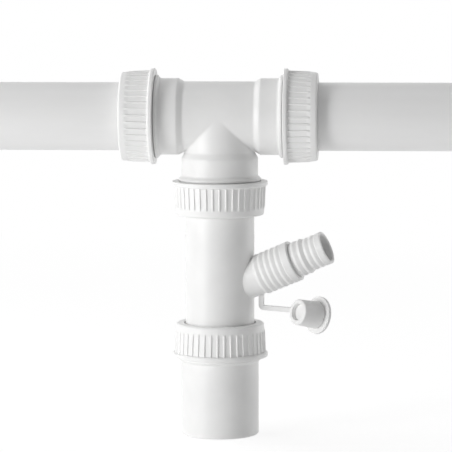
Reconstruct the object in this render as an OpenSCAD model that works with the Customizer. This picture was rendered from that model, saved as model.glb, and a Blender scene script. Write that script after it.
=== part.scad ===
/* [Waste pipe] */
// Outside diameter of the waste pipe
pipe_d = 40; // [38:0.5:42]
// Wall of the waste pipe
pipe_wall = 1.9; // [1.5:0.1:3]
// Length of each pipe, from its seat in the tee to its cut end
pipe_l = 115.5; // [80:0.5:200]
// Chamfer on the cut ends of pipes and tubes
end_chamfer = 0.5; // [0.2:0.1:0.8]

/* [Tee body] */
// Distance from the tee's centre to the end face of each socket
tee_reach = 51.5; // [50:0.5:70]
// Outside diameter of the plain middle of the tee
tee_d = 41.2; // [40:0.2:43]
// Bore of the middle of the tee, which leaves a stop for each pipe
tee_bore_d = 37.2; // [34:0.2:38]

/* [Threaded sockets] */
// Play between a socket and the widest tube, on the radius
tube_play = 0.2; // [0.1:0.05:0.4]
// Depth of a socket, from its end face to its stop
socket_depth = 27; // [20:0.5:28]
// Wall of the socket below the thread
socket_wall = 2; // [1.6:0.1:3]
// Wall of the socket at the root of the thread
thread_wall = 2.3; // [2:0.1:3.4]
// Pitch of the thread
thread_pitch = 2.309; // [1.5:0.001:3]
// Depth of the thread
thread_depth = 1.15; // [0.8:0.05:1.4]
// How far the collar stands out past the thread
collar_rise = 0.4; // [0.2:0.1:1]
// Width of the collar
collar_w = 1.1; // [0.3:0.1:1.5]
// Gap left between a tightened nut and the collar behind it
collar_gap = 0.5; // [0.2:0.1:2]
// Gap left between a tube's end and its stop
stop_gap = 0.5; // [0:0.1:2]

/* [Compression nut] */
// Length of a nut
nut_l = 20; // [19:0.1:24]
// Clearance between the threads of nut and socket, on the radius
thread_clear = 0.25; // [0.15:0.05:0.4]
// Outside diameter of the rolled bead at the nut's wide end
bead_d = 56.4; // [55.5:0.1:60]
// Width of the bead
bead_w = 2.8; // [2.2:0.1:4]
// Diameter over the ribs beside the bead
rib_wide_d = 54; // [53.6:0.1:55]
// Diameter over the ribs at the nut's narrow end
rib_narrow_d = 53.1; // [53:0.1:54]
// Height of the ribs
rib_height = 0.6; // [0.4:0.05:0.8]
// Number of ribs
rib_count = 42; // [30:1:48]
// Width of a rib at its foot
rib_foot_w = 1.4; // [1:0.1:2.2]
// Width of a rib at its top
rib_top_w = 0.3; // [0.2:0.1:0.9]
// Length of the smooth band at the narrow end
band_l = 3.7; // [3:0.1:6]
// Diameter of the smooth band
band_d = 52.4; // [51.8:0.1:52.8]
// Rounding of the nut's outer end
band_round = 1.4; // [0.6:0.1:2]
// Thickness of the nut's end wall
nut_end_wall = 2.2; // [1.5:0.1:3]
// Play between the nut's opening and a socket's bore, on the radius
opening_play = 0.9; // [0.5:0.1:1.4]

/* [Seals and slip rings] */
// How far a seal stands out of its socket
seal_proud = 2.9; // [2:0.1:4]
// Depth of the conical seat in the socket's mouth
seat_depth = 3; // [2:0.1:5]
// How much wider the seat is at the mouth, on the radius
seat_flare = 1.25; // [0.8:0.05:1.5]
// Gap between a seal and its seat
seal_gap = 0.05; // [0.02:0.01:0.2]
// Thickness of a slip ring
slip_t = 1.2; // [0.8:0.1:2]
// Clearance of a slip ring on its tube and in its nut, on the radius
slip_clear = 0.15; // [0.1:0.05:0.4]

/* [Appliance connector] */
// Outside diameter of the connector's tube
connector_d = 40.5; // [39:0.1:41]
// Wall of the connector's tube
connector_wall = 2.2; // [1.8:0.1:3]
// Length of the connector's tube
connector_l = 129.5; // [120:0.5:180]
// Height of the nozzle's axis above the lower end of the tube
nozzle_up = 51; // [48:0.5:60]
// Angle of the nozzle above level
nozzle_rise = 23.5; // [10:0.5:35]
// Angle of the nozzle towards the front
nozzle_turn = 12.6; // [0:0.1:30]
// Bore of the nozzle
nozzle_bore_d = 16.4; // [14:0.2:17]
// Chamfer in the nozzle's mouth
mouth_chamfer = 0.6; // [0.3:0.1:0.9]
// Diameter of the smooth boss at the nozzle's root
boss_d = 22.2; // [21:0.1:23]
// Distance from the tube's axis to the end of the boss
boss_l = 27.1; // [26.5:0.1:32]

/* [Hose barbs] */
// Pitch of the barbs on the wide section and at the tip
barb_pitch = 3.6; // [3:0.1:4.5]
// Depth of the barbs
barb_depth = 0.5; // [0.3:0.05:1.1]
// Diameter over the barbs of the wide section
wide_d = 24.4; // [23.6:0.1:26]
// Number of barbs on the wide section
wide_barbs = 5; // [3:1:7]
// Length of the plain ring that ends the wide section
wide_ring_l = 5; // [2:0.1:6]
// Diameter in the groove behind that ring
neck_d = 19.4; // [19:0.1:20]
// Width of the groove
neck_l = 0.7; // [0.4:0.1:3]
// Diameter over the barbs of the narrow section
narrow_d = 21.3; // [20.6:0.1:22]
// Number of barbs on the narrow section
narrow_barbs = 2; // [1:1:4]
// Pitch of the barbs on the narrow section
narrow_pitch = 3.85; // [3:0.05:5]
// Diameter over the last barbs and the lip at the nozzle's tip
tip_d = 19.8; // [19.4:0.1:20.4]
// Number of barbs beside the lip
tip_barbs = 2; // [1:1:4]
// Length of the lip
tip_l = 4.2; // [2:0.1:6]

/* [Blanking plug and strap] */
// Clearance of the plug in the nozzle's bore, on the radius
plug_clear = 0.1; // [0.02:0.01:0.3]
// How much narrower the plug is at its open end, on the radius
plug_taper = 0.55; // [0.2:0.05:1]
// Length of the plug below its flange
plug_l = 14.8; // [10:0.2:20]
// Diameter of the hole in the plug's open end
plug_hole_d = 10; // [8:0.2:11]
// Depth of the hole in the plug's open end
plug_hole_l = 2.6; // [1.4:0.2:9]
// Rounding of the plug's open rim
plug_rim_r = 0.9; // [0.4:0.1:1.1]
// Width and depth of the groove at the flange's root
plug_groove = 0.7; // [0.4:0.1:1.2]
// Diameter of the plug's flange
plug_flange_d = 22.2; // [19:0.2:25]
// Thickness of the plug's flange
plug_flange_t = 2; // [1:0.1:3]
// Rounding of the flange's edges
plug_flange_round = 0.4; // [0.2:0.1:0.4]
// Distance from the tube's axis to the strap's upright leg
strap_out = 25.4; // [24:0.1:26]
// Drop from the boss to the middle of the strap
strap_drop = 7.5; // [6:0.1:12]
// Length of the strap from its upright leg to the plug's wall
strap_l = 18.8; // [16:0.1:30]
// Downward slope of the strap
strap_slope = 2.9; // [0:0.1:8]
// Width of the strap's upright leg
leg_w = 2.8; // [2.2:0.1:3.4]
// Thickness of the strap
strap_t = 2.8; // [1.8:0.1:3]
// Width of the strap, seen from above
strap_w = 2.5; // [1.8:0.1:3]
// Outer radius of the strap's bend
strap_bend = 3; // [1:0.1:3.2]
// Angle between the strap and the plug's axis
plug_turn = 53; // [30:1:80]
// Downward tilt of the plug's axis
plug_tilt = 12; // [0:1:20]

/* [Lower tube] */
// Length of the lower tube
lower_tube_l = 60; // [56:0.5:120]
// Outside diameter of the lower tube
lower_tube_d = 45.6; // [44.6:0.1:47]
// Bore of the lower tube below its stop
lower_bore_d = 38.4; // [34:0.2:39.2]

/* [Hidden] */
$fn = 96;

// A small length by which a cut runs past the face that it opens
past = 0.1;

pipe_r = pipe_d / 2;
connector_r = connector_d / 2;
socket_r = max(pipe_r, connector_r) + tube_play;
socket_out_r = socket_r + socket_wall;
tee_stop = tee_reach - socket_depth;

// Outside of the tee's arm: the cone between its plain middle and its socket
shoulder_start = tee_stop - 3.7;
shoulder_end = tee_stop - 0.4;

// Nut, measured from a socket's end face with the way out positive
slip_start = seal_proud;
nut_shoulder = slip_start + slip_t;
nut_end = nut_shoulder + nut_end_wall;
nut_start = nut_end - nut_l;

// Thread and collar, measured back from a socket's end face. The thread is drawn as plain rings
thread_l = collar_gap - nut_start;
thread_root_r = socket_r + thread_wall;
thread_top_r = thread_root_r + thread_depth;
thread_lead = 0.8;
thread_turns = floor((thread_l - thread_lead) / thread_pitch);
crest_share = 0.1;
foot_share = 0.42;
collar_r = thread_top_r + collar_rise;
flare_l = 1.5;

// Bore, bead, ribs and band of a nut
nut_bore_r = thread_top_r + thread_clear;
opening_r = socket_r + opening_play;
bead_edge = 0.5;
bead_round = 1.2;
band_start = nut_end - band_l;
rib_start = nut_start + bead_w;
rib_slope_l = 1.6;
runout_l = 2.4;
band_draft = 0.25;

// The tightened nuts stand at different turns, in degrees
left_nut_turn = 4.5;
right_nut_turn = 2.2;
branch_nut_turn = 3.3;
lower_nut_turn = 0.5;

// Heights above the lower tube's open end
connector_z = lower_tube_l - socket_depth + stop_gap;
nozzle_z = connector_z + nozzle_up;
tee_z = connector_z + connector_l + stop_gap + tee_stop;

// Nozzle, measured along its axis from the tube's axis
nozzle_bore_r = nozzle_bore_d / 2;
wide_ring_start = boss_l + wide_barbs * barb_pitch;
neck_land = 0.9;
neck_start = wide_ring_start + wide_ring_l;
narrow_start = neck_start + neck_l + neck_land;
tip_start = narrow_start + narrow_barbs * narrow_pitch;
lip_start = tip_start + tip_barbs * barb_pitch;
nozzle_l = lip_start + tip_l;
barb_rise_share = 0.35;
land_l = 0.5;

// Plug and strap
plug_wide_r = nozzle_bore_r - plug_clear;
plug_narrow_r = plug_wide_r - plug_taper;
boss_under = boss_d / 2 / cos(nozzle_rise);
leg_root = (nozzle_bore_r + boss_d / 2) / 2 / cos(nozzle_rise);
boss_axis_z = strap_out * tan(nozzle_rise);
strap_z = boss_axis_z - boss_under - strap_drop;
strap_run = strap_l + leg_w / 2 - strap_bend;
// Where the strap's end lies in the plug: behind its open rim, inside its wall and above its axis
plug_back = 1.6;
plug_bite = 0.7;
plug_lower = 0.6;

// Frames of the four joints: the origin is in a socket's end face, with +Z along the way out
module left_joint() {
    translate([-tee_reach, 0, tee_z]) rotate([0, -90, 0]) children();
}
module right_joint() {
    translate([tee_reach, 0, tee_z]) rotate([0, 90, 0]) children();
}
module branch_joint() {
    translate([0, 0, tee_z - tee_reach]) rotate([180, 0, 0]) children();
}
module lower_joint() {
    translate([0, 0, lower_tube_l]) children();
}

// Points of the thread's ridges from the collar to the end face, grown outwards by a clearance
function thread_points(grow) = [
    for (i = [0 : thread_turns - 1])
        let (mid = -thread_l + (i + 0.5) * thread_pitch)
        each [
            [thread_root_r + grow, mid - foot_share * thread_pitch],
            [thread_top_r + grow, mid - crest_share * thread_pitch],
            [thread_top_r + grow, mid + crest_share * thread_pitch],
            [thread_root_r + grow, mid + foot_share * thread_pitch],
        ]
];

// Outer half section of a threaded mouth on a tube of radius tube_r, with its flare and collar
function mouth_points(tube_r) = concat(
    [
        [tube_r, -thread_l - collar_w - flare_l],
        [collar_r, -thread_l - collar_w],
        [collar_r, -thread_l],
        [thread_root_r, -thread_l],
    ],
    thread_points(0),
    [
        [thread_root_r, -end_chamfer],
        [thread_root_r - end_chamfer, 0],
    ]
);

// Room for a tube and its seal inside a threaded mouth
module socket_room() {
    rotate_extrude() polygon([
        [0, -socket_depth],
        [socket_r, -socket_depth],
        [socket_r, -seat_depth],
        [socket_r + seat_flare, 0],
        [socket_r + seat_flare, past],
        [0, past],
    ]);
}

// Outer shape of one arm of the tee, from the tee's centre to the end face
module tee_arm() {
    rotate_extrude() polygon(concat(
        [
            [0, -tee_reach],
            [tee_d / 2, -tee_reach],
            [tee_d / 2, shoulder_start - tee_reach],
            [socket_out_r, shoulder_end - tee_reach],
        ],
        mouth_points(socket_out_r),
        [[0, 0]]
    ));
}

module tee_body() {
    color("white") difference() {
        union() {
            left_joint() tee_arm();
            right_joint() tee_arm();
            branch_joint() tee_arm();
        }
        left_joint() socket_room();
        right_joint() socket_room();
        branch_joint() socket_room();
        translate([0, 0, tee_z]) {
            rotate([0, 90, 0]) cylinder(d = tee_bore_d, h = 2 * tee_stop + past, center = true);
            rotate([180, 0, 0]) cylinder(d = tee_bore_d, h = tee_stop + past / 2);
        }
    }
}

// A plain tube with chamfered ends, standing on the XY plane
module plain_tube(out_r, in_r, length) {
    rotate_extrude() polygon([
        [in_r, 0],
        [out_r - end_chamfer, 0],
        [out_r, end_chamfer],
        [out_r, length - end_chamfer],
        [out_r - end_chamfer, length],
        [in_r, length],
    ]);
}

module waste_pipe() {
    color("white") translate([0, 0, stop_gap - socket_depth])
        plain_tube(pipe_r, pipe_r - pipe_wall, pipe_l);
}
module left_pipe() left_joint() waste_pipe();
module right_pipe() right_joint() waste_pipe();

// Half section of a nut without its ribs: bead, floor between the ribs, run-out and smooth band
module nut_section() {
    // Bead, with a small rounding at the nut's end face and a large one down to the ribs
    bead_r = bead_d / 2;
    translate([nut_bore_r, nut_start]) square([bead_r - bead_round - nut_bore_r, bead_w]);
    translate([nut_bore_r, nut_start]) square([bead_r - bead_edge - nut_bore_r, bead_w - bead_round]);
    translate([nut_bore_r, nut_start + bead_edge])
        square([bead_r - nut_bore_r, bead_w - bead_edge - bead_round]);
    translate([bead_r - bead_edge, nut_start + bead_edge]) circle(r = bead_edge);
    translate([bead_r - bead_round, rib_start - bead_round]) circle(r = bead_round);
    // Wall, with its floor rising to the band
    polygon([
        [opening_r, rib_start - past],
        [rib_wide_d / 2 - rib_height, rib_start - past],
        [rib_narrow_d / 2 - rib_height, band_start - runout_l],
        [band_d / 2, band_start],
        [band_d / 2 - band_draft, nut_end - band_round],
        [band_d / 2 - band_draft - band_round, nut_end - band_round],
        [band_d / 2 - band_draft - band_round, nut_end],
        [opening_r, nut_end],
    ]);
    translate([band_d / 2 - band_draft - band_round, nut_end - band_round]) circle(r = band_round);
}

// Envelope of the ribs' tops, tapering towards the band
module rib_section() {
    polygon([
        [nut_bore_r, rib_start - bead_round],
        [rib_wide_d / 2, rib_start - bead_round],
        [rib_wide_d / 2, rib_start],
        [rib_narrow_d / 2, band_start - rib_slope_l],
        [band_d / 2 - past, band_start + past],
        [nut_bore_r, band_start + past],
    ]);
}

// Plan of all the ribs
module rib_plan() {
    foot = rib_narrow_d / 2 - rib_height;
    top = rib_wide_d / 2 + past;
    for (i = [0 : rib_count - 1])
        rotate(i * 360 / rib_count) polygon([
            [foot - rib_height, -rib_foot_w / 2],
            [foot, -rib_foot_w / 2],
            [top, -rib_top_w / 2],
            [top, rib_top_w / 2],
            [foot, rib_foot_w / 2],
            [foot - rib_height, rib_foot_w / 2],
        ]);
}

// Room inside a nut for the thread, the seal and the slip ring
module nut_room() {
    rotate_extrude() polygon(concat(
        [
            [0, -thread_l],
            [thread_root_r + thread_clear, -thread_l],
        ],
        thread_points(thread_clear),
        [
            [nut_bore_r, -end_chamfer],
            [nut_bore_r, nut_shoulder],
            [0, nut_shoulder],
        ]
    ));
    cylinder(r = opening_r, h = nut_end + past);
}

module compression_nut(turn) {
    color("white") rotate(turn) difference() {
        union() {
            rotate_extrude() nut_section();
            intersection() {
                rotate_extrude() rib_section();
                translate([0, 0, rib_start - bead_round])
                    linear_extrude(band_start + past - rib_start + bead_round) rib_plan();
            }
        }
        nut_room();
    }
}
module left_nut() left_joint() compression_nut(-90 + left_nut_turn);
module right_nut() right_joint() compression_nut(-90 - right_nut_turn);
module branch_nut() branch_joint() compression_nut(90 - branch_nut_turn);
module lower_nut() lower_joint() compression_nut(-90 + lower_nut_turn);

// Cone seal, squeezed between the socket's mouth and the slip ring
module cone_seal(tube_r) {
    nose = -seat_depth + 2 * seal_gap;
    nose_r = max(tube_r + past, socket_r - seal_gap + seat_flare * (nose + seat_depth) / seat_depth);
    color("dimgray") rotate_extrude() polygon([
        [tube_r, nose],
        [nose_r, nose],
        [socket_r + seat_flare - seal_gap, 0],
        [thread_root_r, 2 * seal_gap],
        [thread_root_r, seal_proud],
        [tube_r, seal_proud],
    ]);
}
module left_seal() left_joint() cone_seal(pipe_r);
module right_seal() right_joint() cone_seal(pipe_r);
module branch_seal() branch_joint() cone_seal(connector_r);
module lower_seal() lower_joint() cone_seal(connector_r);

// Slip ring, which lets the nut turn without dragging the seal
module slip_ring(tube_r) {
    color("gainsboro") translate([0, 0, slip_start]) difference() {
        cylinder(r = nut_bore_r - slip_clear, h = slip_t);
        translate([0, 0, -past]) cylinder(r = tube_r + slip_clear, h = slip_t + 2 * past);
    }
}
module left_slip_ring() left_joint() slip_ring(pipe_r);
module right_slip_ring() right_joint() slip_ring(pipe_r);
module branch_slip_ring() branch_joint() slip_ring(connector_r);
module lower_slip_ring() lower_joint() slip_ring(connector_r);

// Outer half section of a run of barbs from start: each rises steeply, then slopes to the next
function barb_points(start, count, pitch, crest_r) = [
    for (i = [0 : count - 1])
        let (
            foot = start + i * pitch,
            crest = foot + barb_rise_share * pitch
        )
        each [
            [crest_r - barb_depth, foot],
            [crest_r, crest],
            [crest_r, crest + land_l],
        ]
];

// Outer shape of the nozzle along +Z, from the tube's axis
module nozzle_shape() {
    wide_r = wide_d / 2;
    narrow_r = narrow_d / 2;
    tip_r = tip_d / 2;
    rotate_extrude() polygon(concat(
        [
            [0, 0],
            [boss_d / 2, 0],
            [boss_d / 2, boss_l],
        ],
        barb_points(boss_l, wide_barbs, barb_pitch, wide_r),
        [
            [wide_r - barb_depth, wide_ring_start],
            [wide_r, wide_ring_start + barb_depth],
            [wide_r, neck_start - land_l],
            [wide_r - land_l, neck_start],
            [neck_d / 2, neck_start],
            [neck_d / 2, neck_start + neck_l],
            [narrow_r - barb_depth / 2, neck_start + neck_l],
        ],
        barb_points(narrow_start, narrow_barbs, narrow_pitch, narrow_r),
        barb_points(tip_start, tip_barbs, barb_pitch, tip_r),
        [
            [tip_r - barb_depth, lip_start],
            [tip_r, lip_start + barb_depth],
            [tip_r, nozzle_l - land_l],
            [tip_r - land_l / 2, nozzle_l],
            [0, nozzle_l],
        ]
    ));
}

module nozzle_frame() {
    translate([0, 0, nozzle_z]) rotate([0, 90 - nozzle_rise, -nozzle_turn]) children();
}

// Bore of the nozzle with its chamfered mouth
module nozzle_room() {
    rotate_extrude() polygon([
        [0, 0],
        [nozzle_bore_r, 0],
        [nozzle_bore_r, nozzle_l - mouth_chamfer],
        [nozzle_bore_r + mouth_chamfer, nozzle_l],
        [nozzle_bore_r + mouth_chamfer, nozzle_l + past],
        [0, nozzle_l + past],
    ]);
}

// Frame of the strap: X runs out from the tube under the nozzle, and Z is up
module strap_frame() {
    translate([0, 0, nozzle_z]) rotate([0, 0, -nozzle_turn]) children();
}

// Side view of the strap: an upright leg, a round bend and a sloping run to the plug's wall
module strap_outline() {
    leg_top = boss_axis_z - leg_root;
    outer = strap_out - leg_w / 2;
    under = strap_z - strap_t / 2;
    translate([outer, under + strap_bend]) square([leg_w, leg_top - under - strap_bend]);
    translate([outer + strap_bend, under + strap_bend]) intersection() {
        circle(r = strap_bend);
        translate([-strap_bend, -strap_bend]) square(strap_bend);
    }
    translate([outer + strap_bend, strap_z]) rotate(-strap_slope) translate([0, -strap_t / 2])
        square([strap_run, strap_t]);
}

// Frame of the plug: +Z runs from its open rim to its flange
module plug_frame() {
    strap_frame()
        translate([
            strap_out - leg_w / 2 + strap_bend + strap_run * cos(strap_slope),
            0,
            strap_z - strap_run * sin(strap_slope),
        ])
        rotate([0, 90 + plug_tilt, plug_turn])
        translate([plug_lower, plug_bite - plug_narrow_r, -plug_back])
        children();
}

// Half section of the plug's outside, from its open rim to its flange
module plug_section() {
    square([plug_narrow_r - plug_rim_r, plug_l]);
    translate([plug_narrow_r - plug_rim_r, plug_rim_r]) circle(r = plug_rim_r);
    polygon([
        [0, plug_rim_r],
        [plug_narrow_r, plug_rim_r],
        [plug_wide_r, plug_l - plug_groove],
        [plug_wide_r - plug_groove, plug_l - plug_groove],
        [plug_wide_r - plug_groove, plug_l],
        [0, plug_l],
    ]);
    // Flange with rounded edges
    flange_r = plug_flange_d / 2;
    edge_r = flange_r - plug_flange_round;
    translate([0, plug_l]) square([edge_r, plug_flange_t]);
    translate([0, plug_l + plug_flange_round]) square([flange_r, plug_flange_t - 2 * plug_flange_round]);
    translate([edge_r, plug_l + plug_flange_round]) circle(r = plug_flange_round);
    translate([edge_r, plug_l + plug_flange_t - plug_flange_round]) circle(r = plug_flange_round);
}

module appliance_connector() {
    color("white") difference() {
        union() {
            translate([0, 0, connector_z])
                plain_tube(connector_r, connector_r - connector_wall, connector_l);
            difference() {
                nozzle_frame() nozzle_shape();
                translate([0, 0, connector_z]) cylinder(r = connector_r - connector_wall, h = connector_l);
            }
            strap_frame() rotate([90, 0, 0])
                linear_extrude(strap_w, center = true) strap_outline();
            plug_frame() rotate_extrude() intersection() {
                plug_section();
                square([plug_flange_d, plug_l + plug_flange_t]);
            }
        }
        nozzle_frame() nozzle_room();
        plug_frame() translate([0, 0, -past])
            cylinder(d = plug_hole_d, h = plug_hole_l + past);
    }
}

module lower_tube() {
    color("white") difference() {
        rotate_extrude() polygon(concat(
            [
                [lower_bore_d / 2, 0],
                [lower_tube_d / 2 - end_chamfer, 0],
                [lower_tube_d / 2, end_chamfer],
            ],
            [for (p = mouth_points(lower_tube_d / 2)) [p[0], p[1] + lower_tube_l]],
            [[lower_bore_d / 2, lower_tube_l]]
        ));
        lower_joint() socket_room();
    }
}

tee_body();
left_pipe();
right_pipe();
left_nut();
right_nut();
branch_nut();
lower_nut();
left_seal();
right_seal();
branch_seal();
lower_seal();
left_slip_ring();
right_slip_ring();
branch_slip_ring();
lower_slip_ring();
appliance_connector();
lower_tube();
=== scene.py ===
# The looks of the sink waste tee: camera, plastics and rubber, floor, lamps and world
import math

import bpy
from mathutils import Matrix, Vector

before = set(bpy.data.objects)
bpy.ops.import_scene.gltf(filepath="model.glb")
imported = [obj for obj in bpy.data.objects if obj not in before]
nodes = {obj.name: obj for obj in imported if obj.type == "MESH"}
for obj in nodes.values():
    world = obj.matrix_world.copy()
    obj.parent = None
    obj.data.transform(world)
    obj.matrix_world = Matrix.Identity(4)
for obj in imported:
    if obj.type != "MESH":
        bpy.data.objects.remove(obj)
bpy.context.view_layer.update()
scene = bpy.context.scene


# Camera, as fitted to the photograph: a long lens, a little to the right of and above the object

LENS_MM = 207.2
SENSOR_MM = 36.0
CAMERA_AT = Vector((0.10446, -1.52098, 0.28394))
CAMERA_YAW = math.radians(3.795)
CAMERA_PITCH = math.radians(6.012)
CAMERA_ROLL = math.radians(-0.098)
CLIP_START = 0.01
CLIP_END = 20.0


def make_camera():
    data = bpy.data.cameras.new("camera")
    data.lens = LENS_MM
    data.sensor_width = SENSOR_MM
    data.clip_start = CLIP_START
    data.clip_end = CLIP_END
    camera = bpy.data.objects.new("camera", data)
    scene.collection.objects.link(camera)
    cy, sy = math.cos(CAMERA_YAW), math.sin(CAMERA_YAW)
    cp, sp = math.cos(CAMERA_PITCH), math.sin(CAMERA_PITCH)
    look = Vector((-sy * cp, cy * cp, -sp))
    right = Vector((cy, sy, 0))
    up = right.cross(look)
    cr, sr = math.cos(CAMERA_ROLL), math.sin(CAMERA_ROLL)
    right, up = right * cr + up * sr, up * cr - right * sr
    axes = Matrix((right, up, -look)).transposed().to_4x4()
    camera.matrix_world = Matrix.Translation(CAMERA_AT) @ axes
    scene.camera = camera


# Materials. A noise is (cells per metre, detail), a bump is (depth in metres, strength).

NOISE_RANGE = (0.3, 0.7)    # What nearly all of a noise's values lie between
EVEN = (1, 1, 1)            # No stretch
ALONG_PIPE = (0.08, 1, 1)   # Drawn out along the run, as extrusion leaves it
EDGE = 0.0003               # Radius that the plastic's edges are shaded with, in metres
TEE_EDGE = 0.002            # The tee is moulded with larger radii
EDGE_SAMPLES = 6
PLASTIC_IOR = 1.49
MOTTLE = (55.0, 4.0)
GLOSS = (260.0, 3.0)
SINK, SINK_BUMP = (38.0, 2.0), (0.0004, 0.10)
GRAIN, GRAIN_BUMP = (2600.0, 2.0), (0.00002, 0.25)

BLOOM = (180.0, 4.0)
RUBBER_DARK = (0.045, 0.045, 0.047)
RUBBER_PALE = (0.075, 0.074, 0.072)
RUBBER_GLOSS = (900.0, 3.0)
RUBBER_ROUGH = (0.62, 0.8)
RUBBER_GRAIN, RUBBER_BUMP = (2400.0, 3.0), (0.00003, 0.4)


def new_material(name):
    material = bpy.data.materials.new(name)
    material.use_nodes = True
    tree = material.node_tree
    tree.nodes.clear()
    out = tree.nodes.new("ShaderNodeOutputMaterial")
    shader = tree.nodes.new("ShaderNodeBsdfPrincipled")
    tree.links.new(shader.outputs["BSDF"], out.inputs["Surface"])
    return material, tree, shader


def noise(tree, coords, scale, detail):
    node = tree.nodes.new("ShaderNodeTexNoise")
    node.inputs["Scale"].default_value = scale
    node.inputs["Detail"].default_value = detail
    tree.links.new(coords, node.inputs["Vector"])
    return node.outputs["Fac"]


def spread(tree, value, low, high):
    node = tree.nodes.new("ShaderNodeMapRange")
    node.inputs["From Min"].default_value = NOISE_RANGE[0]
    node.inputs["From Max"].default_value = NOISE_RANGE[1]
    node.inputs["To Min"].default_value = low
    node.inputs["To Max"].default_value = high
    tree.links.new(value, node.inputs["Value"])
    return node.outputs["Result"]


def between(tree, value, low, high):
    node = tree.nodes.new("ShaderNodeMix")
    node.data_type = "RGBA"
    node.inputs["A"].default_value = (*low, 1)
    node.inputs["B"].default_value = (*high, 1)
    tree.links.new(value, node.inputs["Factor"])
    return node.outputs["Result"]


def stretched(tree, factors):
    place = tree.nodes.new("ShaderNodeTexCoord")
    mapping = tree.nodes.new("ShaderNodeMapping")
    mapping.inputs["Scale"].default_value = factors
    tree.links.new(place.outputs["Object"], mapping.inputs["Vector"])
    return mapping.outputs["Vector"]


def bumps(tree, shader, layers, edge=0.0):
    """layers are (height, depth in metres, strength), from the coarsest to the finest."""
    normal = None
    if edge:
        soft = tree.nodes.new("ShaderNodeBevel")
        soft.samples = EDGE_SAMPLES
        soft.inputs["Radius"].default_value = edge
        normal = soft.outputs["Normal"]
    for height, depth, strength in layers:
        bump = tree.nodes.new("ShaderNodeBump")
        bump.inputs["Distance"].default_value = depth
        bump.inputs["Strength"].default_value = strength
        tree.links.new(height, bump.inputs["Height"])
        if normal:
            tree.links.new(normal, bump.inputs["Normal"])
        normal = bump.outputs["Normal"]
    tree.links.new(normal, shader.inputs["Normal"])


def plastic(name, low, high, rough, specular, stretch=EVEN, edge=EDGE):
    """White plastic: a faint mottle in its colour and gloss, sink marks and a fine moulded grain."""
    material, tree, shader = new_material(name)
    plain = stretched(tree, EVEN)
    flow = stretched(tree, stretch)
    mottle = spread(tree, noise(tree, flow, *MOTTLE), 0, 1)
    gloss = spread(tree, noise(tree, flow, *GLOSS), *rough)
    tree.links.new(between(tree, mottle, low, high), shader.inputs["Base Color"])
    tree.links.new(gloss, shader.inputs["Roughness"])
    shader.inputs["Specular IOR Level"].default_value = specular
    shader.inputs["IOR"].default_value = PLASTIC_IOR
    sink = noise(tree, flow, *SINK)
    grain = noise(tree, plain, *GRAIN)
    bumps(tree, shader, [(sink, *SINK_BUMP), (grain, *GRAIN_BUMP)], edge)
    return material


def rubber(name):
    """Black rubber with a faint bloom."""
    material, tree, shader = new_material(name)
    plain = stretched(tree, EVEN)
    bloom = spread(tree, noise(tree, plain, *BLOOM), 0, 1)
    gloss = spread(tree, noise(tree, plain, *RUBBER_GLOSS), *RUBBER_ROUGH)
    tree.links.new(between(tree, bloom, RUBBER_DARK, RUBBER_PALE), shader.inputs["Base Color"])
    tree.links.new(gloss, shader.inputs["Roughness"])
    bumps(tree, shader, [(noise(tree, plain, *RUBBER_GRAIN), *RUBBER_BUMP)])
    return material


def paint(material, *names):
    for name in names:
        mesh = nodes[name].data
        mesh.materials.clear()
        mesh.materials.append(material)


# The darkest and the palest white of a plastic, its range of roughness and its specular level
MOULDED = (0.84, 0.84, 0.835), (0.88, 0.88, 0.875), (0.36, 0.46), 0.45
NUTS = (0.87, 0.87, 0.865), (0.91, 0.91, 0.905), (0.40, 0.50), 0.42
PIPES = (0.84, 0.84, 0.838), (0.87, 0.87, 0.867), (0.32, 0.42), 0.45
RINGS = (0.78, 0.78, 0.77), (0.83, 0.83, 0.82), (0.42, 0.52), 0.4


def paint_all():
    paint(plastic("moulded_white", *MOULDED), "appliance_connector", "lower_tube")
    paint(plastic("tee_white", *MOULDED, edge=TEE_EDGE), "tee_body")
    paint(plastic("nut_white", *NUTS), "left_nut", "right_nut", "branch_nut", "lower_nut")
    paint(plastic("pipe_white", *PIPES, stretch=ALONG_PIPE), "left_pipe", "right_pipe")
    paint(
        plastic("ring_white", *RINGS),
        "left_slip_ring", "right_slip_ring", "branch_slip_ring", "lower_slip_ring",
    )
    paint(rubber("seal_rubber"), "left_seal", "right_seal", "branch_seal", "lower_seal")


# Background. The camera and mirrored rays see it white, and the other rays see a plain lit studio.

WHITE = 1.0             # Strength at which a glow shows as white
FLOOR_SIZE = 60         # In metres, as are the next one and the distances below
FLOOR_DROP = 0.0004     # Gap that keeps the floor's face off the object's lower end
FLOOR_SEEN = 0.35       # Colour and glow of the floor that is seen: white, with a faint shadow
FLOOR_GLOW = 0.785
FLOOR_WHITE = 0.8       # Colour and glow of the floor that lights the object from below
FLOOR_FILL = 0.215
FADE_FROM = 0.25        # Distances from the object between which the floor fades to plain white
FADE_TO = 1.1
WORLD_LIGHT = 0.208


def seen_rays(tree):
    """1 for the rays that show the background: the camera's, and those that mirror or let through."""
    path = tree.nodes.new("ShaderNodeLightPath")
    value = path.outputs["Is Camera Ray"]
    for name in ("Is Glossy Ray", "Is Transmission Ray"):
        either = tree.nodes.new("ShaderNodeMath")
        either.operation = "MAXIMUM"
        tree.links.new(value, either.inputs[0])
        tree.links.new(path.outputs[name], either.inputs[1])
        value = either.outputs["Value"]
    return value


def matt(tree, white):
    node = tree.nodes.new("ShaderNodeBsdfDiffuse")
    node.inputs["Color"].default_value = (white, white, white, 1)
    return node.outputs["BSDF"]


def glow(tree, strength):
    node = tree.nodes.new("ShaderNodeEmission")
    node.inputs["Color"].default_value = (1, 1, 1, 1)
    node.inputs["Strength"].default_value = strength
    return node.outputs["Emission"]


def sky(tree, strength):
    node = tree.nodes.new("ShaderNodeBackground")
    node.inputs["Color"].default_value = (1, 1, 1, 1)
    node.inputs["Strength"].default_value = strength
    return node.outputs["Background"]


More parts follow.
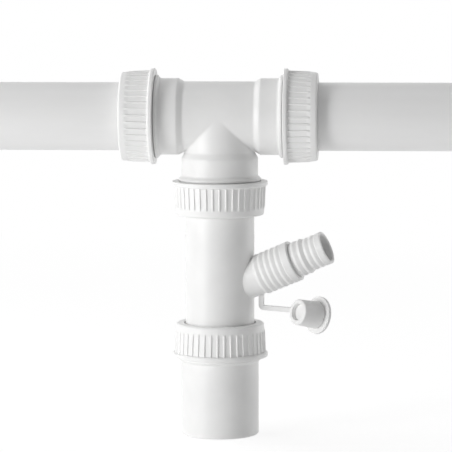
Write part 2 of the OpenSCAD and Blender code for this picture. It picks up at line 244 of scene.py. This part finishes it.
def added(tree, first, second):
    node = tree.nodes.new("ShaderNodeAddShader")
    tree.links.new(first, node.inputs[0])
    tree.links.new(second, node.inputs[1])
    return node.outputs["Shader"]


def mixed(tree, share, first, second):
    """share 0 gives the first and 1 the second."""
    node = tree.nodes.new("ShaderNodeMixShader")
    tree.links.new(share, node.inputs["Fac"])
    tree.links.new(first, node.inputs[1])
    tree.links.new(second, node.inputs[2])
    return node.outputs["Shader"]


def faded(tree):
    """0 near the object and 1 far from it."""
    place = tree.nodes.new("ShaderNodeNewGeometry")
    away = tree.nodes.new("ShaderNodeVectorMath")
    away.operation = "LENGTH"
    tree.links.new(place.outputs["Position"], away.inputs[0])
    fade = tree.nodes.new("ShaderNodeMapRange")
    fade.interpolation_type = "SMOOTHSTEP"
    fade.inputs["From Min"].default_value = FADE_FROM
    fade.inputs["From Max"].default_value = FADE_TO
    tree.links.new(away.outputs["Value"], fade.inputs["Value"])
    return fade.outputs["Result"]


def make_floor():
    bpy.ops.mesh.primitive_plane_add(size=FLOOR_SIZE, location=(0, 0, -FLOOR_DROP))
    floor = bpy.context.object
    floor.name = "floor"
    material = bpy.data.materials.new("floor_white")
    material.use_nodes = True
    tree = material.node_tree
    tree.nodes.clear()
    out = tree.nodes.new("ShaderNodeOutputMaterial")
    lit = added(tree, matt(tree, FLOOR_WHITE), glow(tree, FLOOR_FILL))
    near = added(tree, matt(tree, FLOOR_SEEN), glow(tree, FLOOR_GLOW))
    background = mixed(tree, faded(tree), near, glow(tree, WHITE))
    tree.links.new(mixed(tree, seen_rays(tree), lit, background), out.inputs["Surface"])
    floor.data.materials.append(material)


def make_world():
    world = bpy.data.worlds.new("studio")
    scene.world = world
    world.use_nodes = True
    tree = world.node_tree
    tree.nodes.clear()
    out = tree.nodes.new("ShaderNodeOutputWorld")
    both = mixed(tree, seen_rays(tree), sky(tree, WORLD_LIGHT), sky(tree, WHITE))
    tree.links.new(both, out.inputs["Surface"])


# Lamps, all aimed at one point inside the object

AIM = Vector((0.0, 0.0, 0.13))

# name, azimuth (0 is the viewer's side, 90 the right), elevation, distance, width, height, watts
LAMPS = [
    ("key", -50, 5, 2.5, 0.8, 0.5, 20.2),
    ("key_side", -60, 15, 2.5, 1.0, 1.0, 8.2),
    ("left_high", -120, 45, 1.3, 0.9, 0.9, 4.0),
    ("top", 0, 88, 1.3, 2.4, 0.6, 3.4),
    ("right_back", 120, 10, 1.3, 0.7, 1.0, 4.5),
    ("low_left", -60, -2, 1.0, 0.5, 0.22, 1.6),
]


def make_lamps():
    for name, azimuth, elevation, distance, width, height, watts in LAMPS:
        data = bpy.data.lights.new(name, "AREA")
        data.shape = "RECTANGLE"
        data.size = width
        data.size_y = height
        data.energy = watts
        lamp = bpy.data.objects.new(name, data)
        a, e = math.radians(azimuth), math.radians(elevation)
        out = Vector((math.sin(a) * math.cos(e), -math.cos(a) * math.cos(e), math.sin(e)))
        lamp.location = AIM + out * distance
        lamp.rotation_mode = "QUATERNION"
        lamp.rotation_quaternion = out.to_track_quat("Z", "Y")
        scene.collection.objects.link(lamp)


paint_all()
make_camera()
make_floor()
make_lamps()
make_world()
scene.view_settings.view_transform = "Standard"
